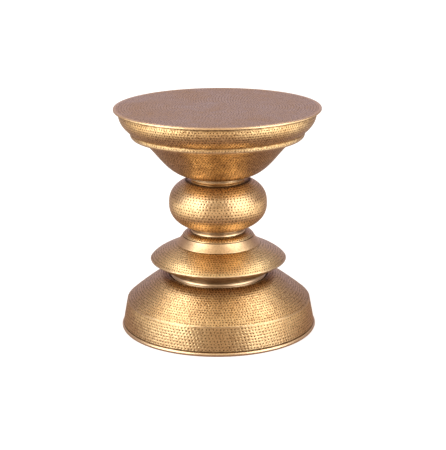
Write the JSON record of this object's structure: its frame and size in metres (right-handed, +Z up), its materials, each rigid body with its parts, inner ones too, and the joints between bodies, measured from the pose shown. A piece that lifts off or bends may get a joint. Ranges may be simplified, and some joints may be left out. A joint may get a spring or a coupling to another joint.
{
  "type": "tray table",
  "caption": "Round hammered-brass pedestal side table: a lift-off flat tray top rests on a bowl, a squashed ball, a saucer and a stepped dome foot on one tie rod.",
  "frame": {"origin": "centre of the circle the base bead stands on, on the floor", "axes": "+Z up along the table's own axis; the table is a body of revolution, so +X and +Y are any two square directions"},
  "size_m": [0.42, 0.42, 0.4602],
  "materials": {
    "hammered_brass": "hand-punched all over in close rows, warm antique lacquer",
    "polished_brass": "smooth, polished",
    "raw_brass": "plain sheet, unpolished",
    "steel": "zinc plated"
  },
  "bodies": {
    "stand": {"bowl_rim_band": "hammered_brass", "bowl_step_ring": "hammered_brass", "bowl_shell": "hammered_brass", "upper_neck_ring": "polished_brass", "ball_upper": "hammered_brass", "ball_lower": "hammered_brass", "ball_lap_band": "raw_brass", "lower_neck_ring": "polished_brass", "collar_cap": "hammered_brass", "collar_band": "polished_brass", "saucer_top": "hammered_brass", "saucer_underside": "polished_brass", "pedestal_ring": "polished_brass", "base_dome": "hammered_brass", "base_skirt": "hammered_brass", "base_foot_bead": "polished_brass", "tie_rod": "steel", "bowl_clamp_plate": "steel", "upper_washer": "steel", "upper_nut": "steel", "base_clamp_plate": "steel", "lower_washer": "steel", "lower_nut": "steel"},
    "tray": {"tray_plate": "hammered_brass", "tray_edge_ring": "polished_brass", "tray_locating_hoop": "raw_brass"}
  },
  "joints": [
    {"name": "tray_lift", "type": "slide", "parent": "stand", "child": "tray", "axis": [0, 0, 1], "range_m": [0, 0.08]}
  ]
}
